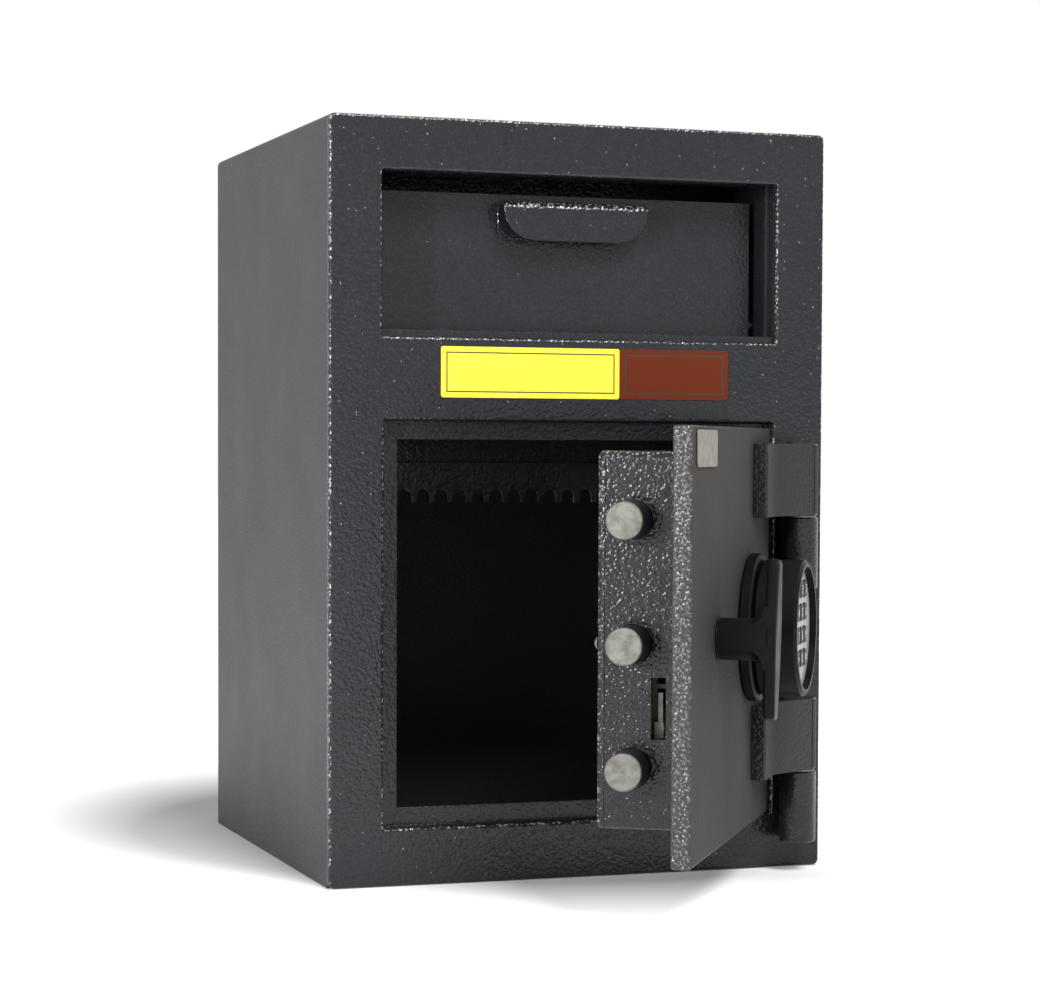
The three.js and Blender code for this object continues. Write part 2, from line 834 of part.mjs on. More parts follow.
painted(hopper, "pull_handle", pullHandle());

// Door slab and the pieces on its face
function doorSlab() {
  const holes = [
    circle(handleX, handleZ, spindleRadius + slabHoleGap, smallSides),
    circle(keypadX, handleZ, cableRadius, smallSides),
  ];
  const points = rectangle(-slabX, slabX, slabBottom, slabTop);
  return push("y", points, frontY, slabBackY, { holes, round: slabRound });
}
painted(door, "door_slab", doorSlab(), doorColour);

function badgePlate() {
  const left = -slabX + badgeInsetX;
  const top = slabTop - badgeInsetZ;
  const points = rectangle(left, left + badgeWidth, top - badgeHeight, top, badgeRound);
  return push("y", points, faceY - badgeThickness, faceY);
}
bare(door, "badge_plate", badgePlate(), badgeColour);

const boltLevels = [
  ["lower", boltMiddleZ - boltPitch],
  ["middle", boltMiddleZ],
  ["upper", boltMiddleZ + boltPitch],
];

// Open sheet frame round the bolt work, with a nut block for the right cover screw
function boltBox() {
  const inner = boxRound - boxSheet;
  const holes = [
    rectangle(boxLeft + boxSheet, boxRight - boxSheet, boxBottom + boxSheet, boxTop - boxSheet, inner),
  ];
  const outer = rectangle(boxLeft, boxRight, boxBottom, boxTop, boxRound);
  let frame = push("y", outer, behindY, boxBackY, { holes });
  const wall = boxRight - boxSheet;
  const nutY = boxBackY - nutDepth;
  const half = nutHeight / 2;
  const nut = block(wall - nutWidth, wall + boxSheet / 2, nutY, boxBackY, boltMiddleZ - half, boltMiddleZ + half);
  frame = frame.add(nut).subtract(rod("y", screwRightX, boltMiddleZ, screwRadius + slideGap, nutY - sheet, coverBackY));
  for (const [, z] of boltLevels) {
    const hole = rod("x", boltY, z, boltRadius + boltHoleGap, boxLeft - sheet, boxLeft + sheet, boltSides);
    frame = frame.subtract(hole);
  }
  const sight = block(
    boxLeft - sheet,
    boxLeft + sheet,
    slabBackY + sightSetBack,
    slabBackY + sightSetBack + sightWidth,
    sightBottom,
    sightBottom + sightHeight,
  );
  return frame.subtract(sight);
}
painted(door, "bolt_box", boltBox(), doorColour);

function boxCover() {
  const outer = rectangle(boxLeft, boxRight, boxBottom, boxTop, boxRound);
  const rounded = push("y", outer, coverFrontY - 2 * coverRound, coverBackY, { round: coverRound });
  const keep = block(boxLeft, boxRight, coverFrontY, coverBackY, boxBottom, boxTop);
  const dish = rectangle(
    boxLeft + boxSheet,
    boxRight - boxSheet,
    boxBottom + boxSheet,
    boxTop - boxSheet,
    boxRound - boxSheet,
  );
  let lid = rounded.intersect(keep).subtract(push("y", dish, coverFrontY - sheet, coverInsideY));
  for (const x of [screwLeftX, screwRightX]) {
    lid = lid.subtract(rod("y", x, boltMiddleZ, screwRadius + slideGap, coverFrontY, coverBackY + sheet));
  }
  return lid;
}
painted(door, "box_cover", boxCover(), doorColour);

function coverScrew(x) {
  const headY = coverBackY + seatGap;
  const shank = rod("y", x, boltMiddleZ, screwRadius, headY - screwLength, headY + screwHead / 2);
  const dome = [new THREE.Vector2(0, 0), new THREE.Vector2(screwHeadRadius, 0)];
  for (let step = 1; step < roundSteps; step++) {
    const angle = (Math.PI * step) / (2 * roundSteps);
    dome.push(new THREE.Vector2(screwHeadRadius * Math.cos(angle), screwHead * Math.sin(angle)));
  }
  dome.push(new THREE.Vector2(0, screwHead));
  const head = new THREE.LatheGeometry(dome, smallSides);
  head.translate(x, headY, boltMiddleZ);
  return solidOf(head).add(shank);
}
bare(door, "cover_screw_left", coverScrew(screwLeftX));
bare(door, "cover_screw_right", coverScrew(screwRightX));

function guideBar() {
  const right = guideX + guideThickness;
  const half = boltPitch + guideOverhang;
  const camChord = Math.sqrt(camRadius ** 2 - (handleX - right) ** 2);
  const notchBottom = sightBottom - guideNotchGap;
  const notchTop = handleZ + camChord + guideNotchGap;
  const notchBackY = behindY + guideNotchDepth;
  const sightBackY = behindY + guideSightDepth;
  const sightTop = sightBottom + sightHeight + guideNotchGap;
  const guideBackY = coverInsideY - seatGap;
  let bar = block(guideX, right, behindY, guideBackY, boltMiddleZ - half, boltMiddleZ + half);
  bar = bar.subtract(block(guideX - sheet, right + sheet, frontY, notchBackY, notchBottom, notchTop));
  bar = bar.subtract(block(guideX - sheet, right + sheet, frontY, sightBackY, notchBottom, sightTop));
  for (const [, z] of boltLevels) {
    bar = bar.subtract(rod("x", boltY, z, boltRadius + slideGap, guideX - sheet, right + sheet, boltSides));
  }
  const tapFrontY = coverBackY - screwLength - sheet;
  return bar.subtract(rod("y", screwLeftX, boltMiddleZ, screwRadius + slideGap, tapFrontY, coverBackY));
}
bare(door, "guide_bar", guideBar(), zincColour);

function deadBar() {
  const bottom = handleZ - deadHeight / 2;
  const top = handleZ + deadHeight / 2;
  const left = boxRight + deadBoxGap;
  const plateY = stopBackY + deadHookGap;
  const leg = block(left, left + deadThickness, behindY, plateY + deadThickness, bottom, top);
  return leg.add(block(left, slabX - deadEdgeInset, plateY, plateY + deadThickness, bottom, top));
}
painted(door, "dead_bar", deadBar(), doorColour);

function lockBody() {
  const plateY = behindY + lockPlateThickness;
  const right = lockCaseLeft + lockCaseWidth;
  const halfBlock = guideBlockWidth / 2;
  const blockTop = lugBottom - slideGap;
  const plate = block(lockPinX - lockPlateLip, right, behindY, plateY, lockPlateBottom, lockPlateTop);
  const outer = rectangle(
    lockCaseLeft,
    right,
    lockPlateBottom + lockCaseInset,
    lockPlateTop - lockCaseInset,
    lockCaseRound,
  );
  const shell = push("y", outer, behindY, behindY + lockCaseDepth);
  const guide = block(lockPinX - halfBlock, lockPinX + halfBlock, behindY, lugBackY, guideBlockBottom, blockTop);
  const hole = rod("z", lockPinX, lockPinY, stemRadius + slideGap, guideBlockBottom - sheet, blockTop + sheet);
  return plate.add(shell).add(guide).subtract(hole);
}
bare(door, "lock_body", lockBody(), zincColour);

function lockPin() {
  const lugTop = lugBottom + lugHeight;
  const wide = lockPinWidth / 2;
  const deep = lockPinDepth / 2;
  const pin = block(lockPinX - wide, lockPinX + wide, lockPinY - deep, lockPinY + deep, lugBottom, lockPinTop);
  const lug = block(lockPinX - lugWidth / 2, lockPinX + lugWidth / 2, lugFrontY, lugBackY, lugBottom, lugTop);
  const stem = rod("z", lockPinX, lockPinY, stemRadius, lugBottom - stemLength, lugBottom + weldTolerance);
  return pin.add(lug).add(stem);
}
bare(door, "lock_pin", lockPin());

// Bolts on their carriage, drawn back as they stand with the door open
function carriageBar() {
  const half = boltPitch + carriageOverhang;
  const bottom = boltMiddleZ - half;
  const top = boltMiddleZ + half;
  const tongueLeft = studX - tongueOverhang;
  const tongueBackY = tongueFrontY + tongueThickness;
  const tongueBottom = handleZ - tongueHeight / 2;
  const tongueTop = handleZ + tongueHeight / 2;
  const catchTop = catchBottom + catchThickness;
  const catchLeft = catchRight - catchWidth;
  const catchFrontY = carriageFrontY - catchDepth;
  let bar = block(carriageX, carriageRight, carriageFrontY, carriageBackY, bottom, top);
  bar = bar.add(block(carriageX, carriageRight, tongueFrontY, carriageFrontY, tongueBottom, tongueTop));
  bar = bar.add(block(tongueLeft, carriageRight, tongueFrontY, tongueBackY, tongueBottom, tongueTop));
  bar = bar.add(rod("y", studX, handleZ, studRadius, camFrontY + studTipGap, tongueBackY));
  bar = bar.add(block(catchLeft, catchRight, catchFrontY, carriageFrontY, catchBottom, catchTop));
  const holeX = lockPinX + boltThrow;
  const holeWide = lockPinWidth / 2 + 2 * slideGap;
  const holeDeep = lockPinDepth / 2 + 2 * slideGap;
  const keyhole = block(
    holeX - holeWide,
    holeX + holeWide,
    lockPinY - holeDeep,
    lockPinY + holeDeep,
    catchBottom - sheet,
    catchTop + sheet,
  );
  bar = bar.subtract(keyhole);
  for (const [, z] of boltLevels) {
    bar = bar.subtract(rod("x", boltY, z, tenonRadius + seatGap, carriageX - sheet, carriageRight + sheet));
  }
  return bar;
}
bare(door, "carriage_bar", carriageBar(), zincColour);

function roundBolt(z) {
  const shoulder = boltTipX + boltLength;
  const body = rod("x", boltY, z, boltRadius, boltTipX, shoulder, boltSides, boltChamfer);
  const tenonEnd = shoulder + carriageThickness + tenonProud;
  return body.add(rod("x", boltY, z, tenonRadius, shoulder - boltChamfer, tenonEnd));
}
for (const [where, z] of boltLevels) {
  bare(door, `bolt_${where}`, roundBolt(z));
}

// Handle outside, cam inside, turning as one on the spindle. The grip leans and flares into its shank.
function handleGrip() {
  const end = gripLength / 2;
  const wide = gripMiddleWidth / 2;
  const slim = gripEndWidth / 2;
  const lean = THREE.MathUtils.degToRad(gripLeanAngle);
  const middle = new THREE.Vector2();
  const corners = [
    [-slim, -end, gripEndRound],
    [slim, -end, gripEndRound],
    [wide, -gripShoulder],
    [wide, gripShoulder],
    [slim, end, gripEndRound],
    [-slim, end, gripEndRound],
    [-wide, gripShoulder],
    [-wide, -gripShoulder],
  ].map(([x, z, radius]) => {
    const spot = new THREE.Vector2(x, z).rotateAround(middle, -lean);
    return [handleX + spot.x, handleZ + spot.y, radius];
  });
  const middleY = gripFrontY + gripThickness / 2;
  const flareBackY = gripBackY + gripFlare;
  const flareRadius = shankRadius + gripFlare;
  const profile = [new THREE.Vector2(0, middleY), new THREE.Vector2(flareRadius, middleY)];
  for (let step = 0; step <= roundSteps; step++) {
    const angle = (Math.PI * (roundSteps - step)) / (2 * roundSteps);
    const spot = new THREE.Vector2(-Math.cos(angle), -Math.sin(angle)).multiplyScalar(gripFlare);
    profile.push(spot.add(new THREE.Vector2(flareRadius, flareBackY)));
  }
  profile.push(new THREE.Vector2(0, flareBackY));
  const cone = new THREE.LatheGeometry(profile, boltSides);
  cone.translate(handleX, 0, handleZ);
  const flare = solidOf(cone).intersect(push("y", outline(corners), middleY, flareBackY));
  const grip = push("y", outline(corners), gripFrontY, gripBackY, { round: gripRound });
  const shank = rod("y", handleX, handleZ, shankRadius, gripBackY - gripRound, shankY, boltSides);
  const bore = rod("y", handleX, handleZ, spindleRadius + seatGap, shankY - shankBore, shankY + sheet);
  return grip.add(flare).add(shank).subtract(bore);
}
plastic(door, "t_handle", handleGrip());

function handleCollar() {
  const holes = [circle(handleX, handleZ, spindleRadius + slabHoleGap, smallSides)];
  const points = circle(handleX, handleZ, shankRadius + collarLip, boltSides);
  return push("y", points, faceY - collarThickness, faceY, { holes });
}
plastic(door, "handle_collar", handleCollar());

// The slot winds outward so that the stud leaves the spindle by the bolts' throw in a quarter turn.
function spindleCam() {
  const turnSteps = 6 * roundSteps;
  const hubRadius = camStartRadius - halfSlot - camHubGap;
  const centreAt = (part) => {
    const angle = Math.PI - (part * Math.PI) / 2;
    const radius = camStartRadius + boltThrow * part;
    return new THREE.Vector2(handleX + radius * Math.cos(angle), handleZ + radius * Math.sin(angle));
  };
  const outerSide = [];
  const innerSide = [];
  for (let step = 0; step <= turnSteps; step++) {
    const part = step / turnSteps;
    const here = centreAt(part);
    const ahead = centreAt(part + weldTolerance).sub(centreAt(part - weldTolerance)).normalize();
    const across = new THREE.Vector2(-ahead.y, ahead.x).multiplyScalar(halfSlot);
    outerSide.push(here.clone().add(across));
    innerSide.unshift(here.clone().sub(across));
  }
  const first = centreAt(0);
  const last = centreAt(1);
  const slot = push("y", [...outerSide, ...innerSide], camFrontY - sheet, camBackY + sheet)
    .add(rod("y", first.x, first.y, halfSlot, camFrontY - sheet, camBackY + sheet, boltSides))
    .add(rod("y", last.x, last.y, halfSlot, camFrontY - sheet, camBackY + sheet, boltSides));
  return rod("y", handleX, handleZ, camRadius, camFrontY, camBackY, discSides)
    .subtract(slot)
    .add(rod("y", handleX, handleZ, hubRadius, behindY, camBackY))
    .add(rod("y", handleX, handleZ, spindleRadius, shankY - shankBore + seatGap, camBackY));
}
bare(door, "spindle_cam", spindleCam(), zincColour);

// Keypad: base disc, drum, face sheet and twelve keys
function keypadBase() {
  const holes = [circle(keypadX, handleZ, cableRadius, smallSides)];
  const points = circle(keypadX, handleZ, keypadBaseRadius, discSides);
  return push("y", points, keypadBaseFrontY, faceY, { holes, round: slabRound, steps: 1 });
}
plastic(door, "keypad_base", keypadBase());

function keypadHousing() {
  const floorBackY = pocketY + keypadFloor;
  const bore = (radius, from, to) => rod("y", keypadX, handleZ, radius, from, to, discSides);
  return rod("y", keypadX, handleZ, keypadRadius, keypadFrontY, keypadBackY, discSides, keypadRound)
    .subtract(bore(keypadMouthRadius, keypadFrontY - sheet, ledgeY))
    .subtract(bore(keypadLedgeRadius, keypadFrontY, pocketY))
    .subtract(bore(keypadHollowRadius, floorBackY, keypadBackY + sheet));
}
plastic(door, "keypad_housing", keypadHousing());

// The keys fill the round face: three columns, and rows as high as the corner keys allow.
const keyNames = ["1", "2", "3", "4", "5", "6", "7", "8", "9", "star", "0", "hash"];
const keyColumns = 3;
const keyRows = keyNames.length / keyColumns;
const keyFieldX = keyPitchX + keyWidth / 2 + keyFlangeLip;
const keyFieldZ = Math.sqrt((keypadLedgeRadius - keyEdgeGap) ** 2 - keyFieldX ** 2);
const keyPitchZ = (2 * keyFieldZ - keyFieldRise + keyBridge - 2 * keyFlangeLip) / keyRows;
const keyHeight = keyPitchZ - keyBridge;
const keyTopZ = handleZ + keyFieldZ - keyHeight / 2 - keyFlangeLip;
const keySpots = keyNames.map((name, i) => ({
  name,
  x: keypadX + ((i % keyColumns) - 1) * keyPitchX,
  z: keyTopZ - Math.floor(i / keyColumns) * keyPitchZ,
}));

function keyOutline({ x, z }, grow) {
  const wide = keyWidth / 2 + grow;
  const high = keyHeight / 2 + grow;
  return outline(
    [
      [x - wide, z - high, keyRound],
      [x + wide, z - high, keyRound],
      [x + wide, z + high, keyRound],
      [x - wide, z + high, keyRound],
    ],
    bevelSteps,
  );
}

function keypadFace() {
  const radius = keypadMouthRadius - seatGap;
  const holes = keySpots.map((spot) => keyOutline(spot, slideGap));
  return push("y", circle(keypadX, handleZ, radius, discSides), keypadFaceY, faceBackY, { holes });
}
plastic(door, "key_face", keypadFace(), silverColour);

function keyCap(spot) {
  const flangeFrontY = faceBackY + slideGap;
  const flangeBackY = flangeFrontY + keyFlangeThickness;
  const cap = push("y", keyOutline(spot, 0), keypadFaceY - keyProud, flangeBackY, {
    round: keyEdge,
    steps: 1,
  });
  return cap.add(push("y", keyOutline(spot, keyFlangeLip), flangeFrontY, flangeBackY));
}
for (const spot of keySpots) {
  plastic(door, `key_${spot.name}`, keyCap(spot), rubberColour);
}

// Swing the door open about the hinge axis
const hinge = new THREE.Group();
door.position.set(-hingeX, -hingeY, 0);
hinge.add(door);
hinge.position.set(hingeX, hingeY, 0);
hinge.rotation.z = THREE.MathUtils.degToRad(doorAngle);

const safe = new THREE.Group();
safe.add(cabinet, hopper, hinge);

export default safe;
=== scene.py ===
import json
import math

import bmesh
import bpy
from mathutils import Matrix, Vector


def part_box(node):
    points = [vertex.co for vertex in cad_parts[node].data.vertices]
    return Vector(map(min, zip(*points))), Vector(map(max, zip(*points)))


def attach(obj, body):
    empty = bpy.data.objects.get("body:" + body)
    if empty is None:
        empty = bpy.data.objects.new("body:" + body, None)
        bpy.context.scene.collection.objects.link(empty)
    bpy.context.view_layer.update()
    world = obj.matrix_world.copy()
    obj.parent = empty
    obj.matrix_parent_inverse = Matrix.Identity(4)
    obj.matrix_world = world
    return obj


# Looks of a floor safe: hammered powder coat, bare bolts, black plastic keypad and handle.
# Everything is in metres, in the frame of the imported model.
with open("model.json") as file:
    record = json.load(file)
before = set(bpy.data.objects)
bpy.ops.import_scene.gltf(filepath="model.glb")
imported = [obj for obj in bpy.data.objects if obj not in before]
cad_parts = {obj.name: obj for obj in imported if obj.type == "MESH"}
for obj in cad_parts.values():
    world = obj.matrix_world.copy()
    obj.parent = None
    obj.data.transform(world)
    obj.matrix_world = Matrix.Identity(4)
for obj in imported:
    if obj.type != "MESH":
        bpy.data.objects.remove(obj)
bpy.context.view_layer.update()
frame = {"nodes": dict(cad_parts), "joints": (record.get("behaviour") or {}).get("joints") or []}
nodes = frame["nodes"]
joints = {joint["name"]: joint for joint in frame["joints"]}
scene = bpy.context.scene

MM = 0.001

# DOOR turns a point on the shut door to where it lies with the door open as it rests.
hinge_axis = Vector(joints["door_hinge"]["pos_m"])
door_open = math.radians(-joints["door_hinge"]["range_deg"][0])
DOOR = (
    Matrix.Translation(hinge_axis)
    @ Matrix.Rotation(door_open, 4, "Z")
    @ Matrix.Translation(-hinge_axis)
)
SHUT = DOOR.inverted()
DOOR_TURN = DOOR.to_3x3()
DOOR_FRONT = DOOR_TURN @ Vector((0, -1, 0))
DOOR_FREE_EDGE = DOOR_TURN @ Vector((-1, 0, 0))
BOLT_LENGTH = DOOR_TURN @ Vector((1, 0, 0))


def shut_box(node):
    """Lowest and highest corner of a door node as it lies with the door shut."""
    points = [SHUT @ v.co for v in nodes[node].data.vertices]
    low = Vector(min(p[i] for p in points) for i in range(3))
    high = Vector(max(p[i] for p in points) for i in range(3))
    return low, high


class Graph:
    """Adds nodes to a material or a group and joins them."""

    def __init__(self, tree):
        self.tree = tree

    def add(self, kind, settings=None, **inputs):
        node = self.tree.nodes.new(kind)
        for key, value in (settings or {}).items():
            setattr(node, key, value)
        for key, value in inputs.items():
            self.feed(node, key.replace("_", " "), value)
        return node

    def feed(self, node, socket, value):
        """Links a socket into the named or numbered input, or sets a plain value there."""
        target = node.inputs[socket]
        if isinstance(value, bpy.types.NodeSocket):
            self.tree.links.new(value, target)
        else:
            target.default_value = value

    def math(self, operation, first, second=0.0):
        node = self.add("ShaderNodeMath", {"operation": operation})
        self.feed(node, 0, first)
        self.feed(node, 1, second)
        return node.outputs[0]

    def times(self, first, second):
        return self.math("MULTIPLY", first, second)

    def plus(self, first, second):
        return self.math("ADD", first, second)

    def vector(self, operation, *values):
        node = self.add("ShaderNodeVectorMath", {"operation": operation})
        for i, value in enumerate(values):
            self.feed(node, i, value)
        return node

    def span(self, value, low, high, to_low=0.0, to_high=1.0, curve="LINEAR"):
        """Maps low to high onto to_low to to_high, and holds the ends beyond."""
        node = self.add("ShaderNodeMapRange", {"clamp": True, "interpolation_type": curve})
        for i, part in enumerate((value, low, high, to_low, to_high)):
            self.feed(node, i, part)
        return node.outputs[0]

    def mix(self, factor, first, second):
        node = self.add("ShaderNodeMix", {"data_type": "RGBA"})
        self.feed(node, 0, factor)
        self.feed(node, 6, first)
        self.feed(node, 7, second)
        return node.outputs[2]

    def seen(self):
        """1 for what the eye, a reflection or clear material shows, 0 for light that falls."""
        path = self.add("ShaderNodeLightPath").outputs
        shown = self.math("MAXIMUM", path["Is Camera Ray"], path["Is Glossy Ray"])
        return self.math("MAXIMUM", shown, path["Is Transmission Ray"])


SOCKETS = {
    "value": "NodeSocketFloat",
    "colour": "NodeSocketColor",
    "vector": "NodeSocketVector",
}


def new_group(name, inputs, outputs):
    """A shader node group with named sockets; returns its graph, given values and exit."""
    group = bpy.data.node_groups.new(name, "ShaderNodeTree")
    for label, kind, default in inputs:
        socket = group.interface.new_socket(label, in_out="INPUT", socket_type=SOCKETS[kind])
        socket.default_value = default
    for label, kind in outputs:
        group.interface.new_socket(label, in_out="OUTPUT", socket_type=SOCKETS[kind])
    entry = group.nodes.new("NodeGroupInput")
    return Graph(group), entry.outputs, group.nodes.new("NodeGroupOutput")


# Hammered powder coat: low rounded pebbles of uneven size, fine orange peel and a few steep
# droplets. Pebble tops take a lighter colour as a painted highlight. The droplets and the
# rounded edges that don't face down get light grey metallic specks: a painted highlight on top
# of their real metallic reflection.
WARP_REACH = (3.6 * MM, 3.6 * MM, 3.6 * MM)
COAT_DEPTH = 0.2 * MM
PEBBLE_HEIGHT = 0.75
PEEL_HEIGHT = 0.4
DROPLET_HEIGHT = 2.4
EDGE_BLEND = 0.25
PAINTED_HIGHLIGHT_GREY = (0.75, 0.75, 0.76, 1)

coat, given, coat_out = new_group(
    "hammered_coat",
    [
        ("Colour", "colour", (0.1, 0.1, 0.11, 1)),
        ("Painted Top Highlight Colour", "colour", (0.3, 0.3, 0.31, 1)),
        ("Pebbles per Metre", "value", 430.0),
        ("Relief", "value", 0.6),
        ("Droplets", "value", 0.5),
        ("Roughness", "value", 0.2),
        ("Face Roughness", "value", 0.0),
        ("Face Painted Reflection Colour", "colour", (0.1, 0.1, 0.1, 1)),
        ("Face", "vector", (0, 0, 0)),
        ("Painted Top Highlight Amount", "value", 0.3),
        ("Painted Droplet Highlight", "value", 0.0),
        ("Painted Edge Highlight", "value", 0.0),
        ("Edge Start", "value", 0.1),
    ],
    [("Colour", "colour"), ("Roughness", "value"), ("Metallic", "value"), ("Normal", "vector")],
)
texture_place = coat.add("ShaderNodeTexCoord").outputs
place = texture_place["Object"]
warp = coat.add("ShaderNodeTexNoise", Vector=place, Scale=170.0, Detail=2.0)
bent = coat.vector("MULTIPLY_ADD", warp.outputs["Color"], WARP_REACH, place).outputs[0]
pebble = coat.add(
    "ShaderNodeTexVoronoi",
    {"feature": "SMOOTH_F1"},
    Vector=bent,
    Scale=given["Pebbles per Metre"],
    Smoothness=0.7,
)
peel = coat.add("ShaderNodeTexNoise", Vector=place, Scale=760.0, Detail=2.0, Roughness=0.5)
broad = coat.add("ShaderNodeTexNoise", Vector=place, Scale=16.0, Detail=3.0).outputs["Fac"]
speck = coat.add("ShaderNodeTexNoise", Vector=place, Scale=1500.0, Detail=1.0).outputs["Fac"]
drop = coat.add("ShaderNodeTexVoronoi", Vector=bent, Scale=190.0, Randomness=1.0)
drop_distance = drop.outputs["Distance"]
chance = coat.add("ShaderNodeSeparateColor", Color=drop.outputs["Color"]).outputs[0]
some = coat.math("LESS_THAN", chance, given["Droplets"])

dome = coat.span(pebble.outputs["Distance"], 0.05, 0.8, 1.0, 0.0)
height = coat.plus(
    coat.times(dome, PEBBLE_HEIGHT), coat.times(peel.outputs["Fac"], PEEL_HEIGHT)
)
height = coat.times(height, given["Relief"])
bead = coat.times(coat.span(drop_distance, 0.0, 0.16, 1.0, 0.0, "SMOOTHSTEP"), some)
height = coat.plus(height, coat.times(bead, DROPLET_HEIGHT))
relief = coat.add("ShaderNodeBump", Strength=1.0, Distance=COAT_DEPTH, Height=height)

# Where the surface faces: the flat face, the rounding beside it, and what looks down
facing = coat.vector("DOT_PRODUCT", texture_place["Normal"], given["Face"]).outputs["Value"]
on_face = coat.span(facing, 0.8, 0.95)
edge_start = given["Edge Start"]
rounding = coat.span(facing, edge_start, coat.plus(edge_start, EDGE_BLEND))
rounding = coat.times(rounding, coat.span(facing, 0.99, 0.9))
upward = coat.add("ShaderNodeSeparateXYZ", Vector=texture_place["Normal"]).outputs["Z"]
rounding = coat.times(rounding, coat.span(upward, -0.3, -0.1))

# Painted highlight: the pebble tops take a lighter colour where light would catch them.
top_highlight = coat.times(coat.span(height, 0.7, 0.95), given["Painted Top Highlight Amount"])
shade = coat.mix(top_highlight, given["Colour"], given["Painted Top Highlight Colour"])
# Painted reflection and painted shade: the face takes its own colour. On the door it is darker
# and warmer than the edges, standing in for the sheen and warm reflection that the face shows.
shade = coat.mix(on_face, shade, given["Face Painted Reflection Colour"])
# Painted highlight: light grey metallic specks on rounded edges that don't face down and on
# droplet cores, placed where highlights fall, on top of their real metallic reflection.
edge_highlight = coat.times(coat.span(dome, 0.5, 0.72), coat.times(rounding, given["Painted Edge Highlight"]))
droplet_highlight = coat.times(coat.span(drop_distance, 0.05, 0.11, 1.0, 0.0), some)
painted_highlight = coat.math("MAXIMUM", edge_highlight, coat.times(droplet_highlight, given["Painted Droplet Highlight"]))
shade = coat.mix(painted_highlight, shade, PAINTED_HIGHLIGHT_GREY)
patch = coat.times(
    coat.span(broad, 0.3, 0.7, 0.94, 1.06), coat.span(speck, 0.35, 0.65, 0.7, 1.3)
)
patchy = coat.vector("SCALE", shade)
coat.feed(patchy, "Scale", patch)
rough = coat.plus(given["Roughness"], coat.span(broad, 0.3, 0.7, -0.03, 0.03))
rough = coat.plus(rough, coat.times(on_face, given["Face Roughness"]))
coat.feed(coat_out, "Colour", patchy.outputs[0])
coat.feed(coat_out, "Roughness", rough)
coat.feed(coat_out, "Metallic", painted_highlight)
coat.feed(coat_out, "Normal", relief.outputs["Normal"])

# Bare metal: fine turned lines, cloudy tone and small nicks. A bolt's shaft is darker than its
# machined ends: partly a plainer finish, partly a painted dark reflection of what surrounds it.
METAL_DEPTH = 0.08 * MM
LINE_HEIGHT = 0.6

metal, given, metal_out = new_group(
    "worked_metal",
    [
        ("Colour", "colour", (0.6, 0.59, 0.56, 1)),
        ("Stain", "colour", (0.35, 0.33, 0.3, 1)),
        ("Stain Amount", "value", 0.3),
        ("Lines per Metre", "value", 3000.0),
        ("Roughness", "value", 0.35),
        ("End", "vector", (0, 0, 0)),
        ("Shaft Painted Reflection Colour", "colour", (0.1, 0.1, 0.1, 1)),
        ("Shaft Painted Reflection Amount", "value", 0.0),
    ],
    [("Colour", "colour"), ("Roughness", "value"), ("Normal", "vector")],
)
texture_place = metal.add("ShaderNodeTexCoord").outputs
place = texture_place["Object"]
cloud = metal.add("ShaderNodeTexNoise", Vector=place, Scale=160.0, Detail=5.0, Roughness=0.65)
cloud = cloud.outputs["Fac"]
lines = metal.add(
    "ShaderNodeTexNoise", Vector=place, Scale=given["Lines per Metre"], Detail=2.0
)
nick = metal.add("ShaderNodeTexVoronoi", Vector=place, Scale=420.0, Randomness=1.0)
stain = metal.times(metal.span(cloud, 0.4, 0.72), given["Stain Amount"])
tone = metal.mix(stain, given["Colour"], given["Stain"])
facing = metal.vector("DOT_PRODUCT", texture_place["Normal"], given["End"]).outputs["Value"]
# Painted reflection: the shaft turns dark, as if showing its dark surroundings.
shaft_reflection = metal.span(metal.math("ABSOLUTE", facing), 0.3, 0.9, 1.0, 0.0)
tone = metal.mix(metal.times(shaft_reflection, given["Shaft Painted Reflection Amount"]), tone, given["Shaft Painted Reflection Colour"])
grit = metal.plus(
    metal.times(lines.outputs["Fac"], LINE_HEIGHT),
    metal.span(nick.outputs["Distance"], 0.05, 0.2),
)
worked = metal.add("ShaderNodeBump", Strength=0.25, Distance=METAL_DEPTH, Height=grit)
metal.feed(metal_out, "Colour", tone)
rough = metal.plus(given["Roughness"], metal.span(cloud, 0.3, 0.7, -0.06, 0.12))
metal.feed(metal_out, "Roughness", rough)
metal.feed(metal_out, "Normal", worked.outputs["Normal"])

# Enamel, plastic, rubber and ink: fine grain with a slightly uneven sheen.
GRAIN_DEPTH = 0.06 * MM

grain, given, grain_out = new_group(
    "moulded_grain",
    [
        ("Colour", "colour", (0.02, 0.02, 0.02, 1)),
        ("Grains per Metre", "value", 2600.0),
        ("Relief", "value", 0.2),
        ("Roughness", "value", 0.4),
        ("Speckle Colour", "colour", (0.02, 0.02, 0.02, 1)),
        ("Speckle Amount", "value", 0.0),
    ],
    [("Colour", "colour"), ("Roughness", "value"), ("Normal", "vector")],
)
place = grain.add("ShaderNodeTexCoord").outputs["Object"]
fine = grain.add(
    "ShaderNodeTexNoise", Vector=place, Scale=given["Grains per Metre"], Detail=2.0
)
fine = fine.outputs["Fac"]
cloud = grain.add("ShaderNodeTexNoise", Vector=place, Scale=60.0, Detail=4.0).outputs["Fac"]
spots = grain.times(grain.span(fine, 0.55, 0.66), given["Speckle Amount"])
tone = grain.mix(spots, given["Colour"], given["Speckle Colour"])
moulded = grain.add(
    "ShaderNodeBump", Strength=given["Relief"], Distance=GRAIN_DEPTH, Height=fine
)
rough = grain.plus(given["Roughness"], grain.span(cloud, 0.3, 0.7, -0.05, 0.08))
grain.feed(grain_out, "Colour", tone)
grain.feed(grain_out, "Roughness", rough)
grain.feed(grain_out, "Normal", moulded.outputs["Normal"])


